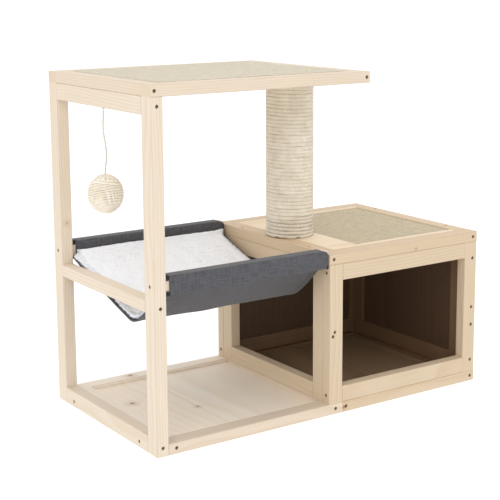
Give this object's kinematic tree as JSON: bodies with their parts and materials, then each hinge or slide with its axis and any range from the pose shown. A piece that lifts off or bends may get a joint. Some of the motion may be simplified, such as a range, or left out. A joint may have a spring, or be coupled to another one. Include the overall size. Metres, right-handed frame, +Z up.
{
  "type": "cat tree",
  "caption": "Free-standing pine cat tree: a box with a window and a doorway, a cloth hammock, a rope column, a sisal platform and a ball hung on a cord.",
  "frame": {"origin": "on the floor, under the middle of the whole object's width and depth", "axes": "+X along the length from the tall open side frame to the box, +Y from the window side to the closed back, +Z up"},
  "size_m": [0.737, 0.37, 0.62],
  "materials": {
    "pine": "planed and sanded pale pine battens, bare",
    "pine_board": "glued pine boards with small knots, bare",
    "plywood": "pale plywood panel, bare",
    "turned_wood": "turned softwood",
    "card_tube": null,
    "sisal_mat": "flat woven sisal, matte",
    "sisal_rope": "laid sisal rope, matte, fuzzy",
    "natural_cord": "thin twisted sisal cord",
    "ball_sisal": "wound sisal yarn, matte",
    "ball_foam": "light moulded foam",
    "grey_canvas": "plain woven grey canvas, matte",
    "white_plush": "white short-pile plush, soft",
    "screw_steel": "darkened zinc steel"
  },
  "bodies": {
    "root": {"back_bottom_rail": "pine", "back_left_stile": "pine", "back_panel": "plywood", "back_right_stile": "pine", "back_top_rail": "pine", "base_back_rail": "pine", "base_floor": "pine_board", "base_front_rail": "pine", "base_left_rail": "pine", "base_right_rail": "pine", "column_bolts": "screw_steel", "column_plugs": "turned_wood", "column_rope": "sisal_rope", "column_tube": "card_tube", "doorway_back_stile": "pine", "doorway_bottom_rail": "pine", "doorway_front_stile": "pine", "doorway_top_rail": "pine", "frame_screws": "screw_steel", "hammock_back_slat": "pine", "hammock_dowels": "turned_wood", "hammock_front_slat": "pine", "hammock_lining": "white_plush", "hammock_sling": "grey_canvas", "left_back_post": "pine", "left_bottom_rail": "pine", "left_front_post": "pine", "left_middle_rail": "pine", "left_top_rail": "pine", "platform_back_rail": "pine", "platform_board": "pine_board", "platform_front_rail": "pine", "platform_left_rail": "pine", "platform_mat": "sisal_mat", "platform_right_rail": "pine", "side_back_stile": "pine", "side_bottom_rail": "pine", "side_front_stile": "pine", "side_panel": "plywood", "side_top_rail": "pine", "top_back_rail": "pine", "top_board": "pine_board", "top_front_rail": "pine", "top_left_rail": "pine", "top_mat": "sisal_mat", "top_right_rail": "pine", "toy_anchor": "natural_cord", "tray_back_rail": "pine", "tray_floor": "pine_board", "tray_front_rail": "pine", "tray_left_rail": "pine", "tray_right_rail": "pine", "window_bottom_rail": "pine", "window_left_stile": "pine", "window_right_stile": "pine", "window_top_rail": "pine"},
    "toy_knot_link": {"toy_knot": "natural_cord"},
    "toy": {"toy_cord": "natural_cord", "toy_ball_core": "ball_foam", "toy_ball_wrap": "ball_sisal"}
  },
  "joints": [
    {"name": "toy_swing_side", "type": "hinge", "parent": "root", "child": "toy_knot_link", "pos_m": [-0.3355, -0.004, 0.5654], "axis": [0, 1, 0], "range_deg": [-60, 60]},
    {"name": "toy_swing_front", "type": "hinge", "parent": "toy_knot_link", "child": "toy", "pos_m": [-0.3355, -0.004, 0.5654], "axis": [1, 0, 0], "range_deg": [-40, 40]}
  ]
}
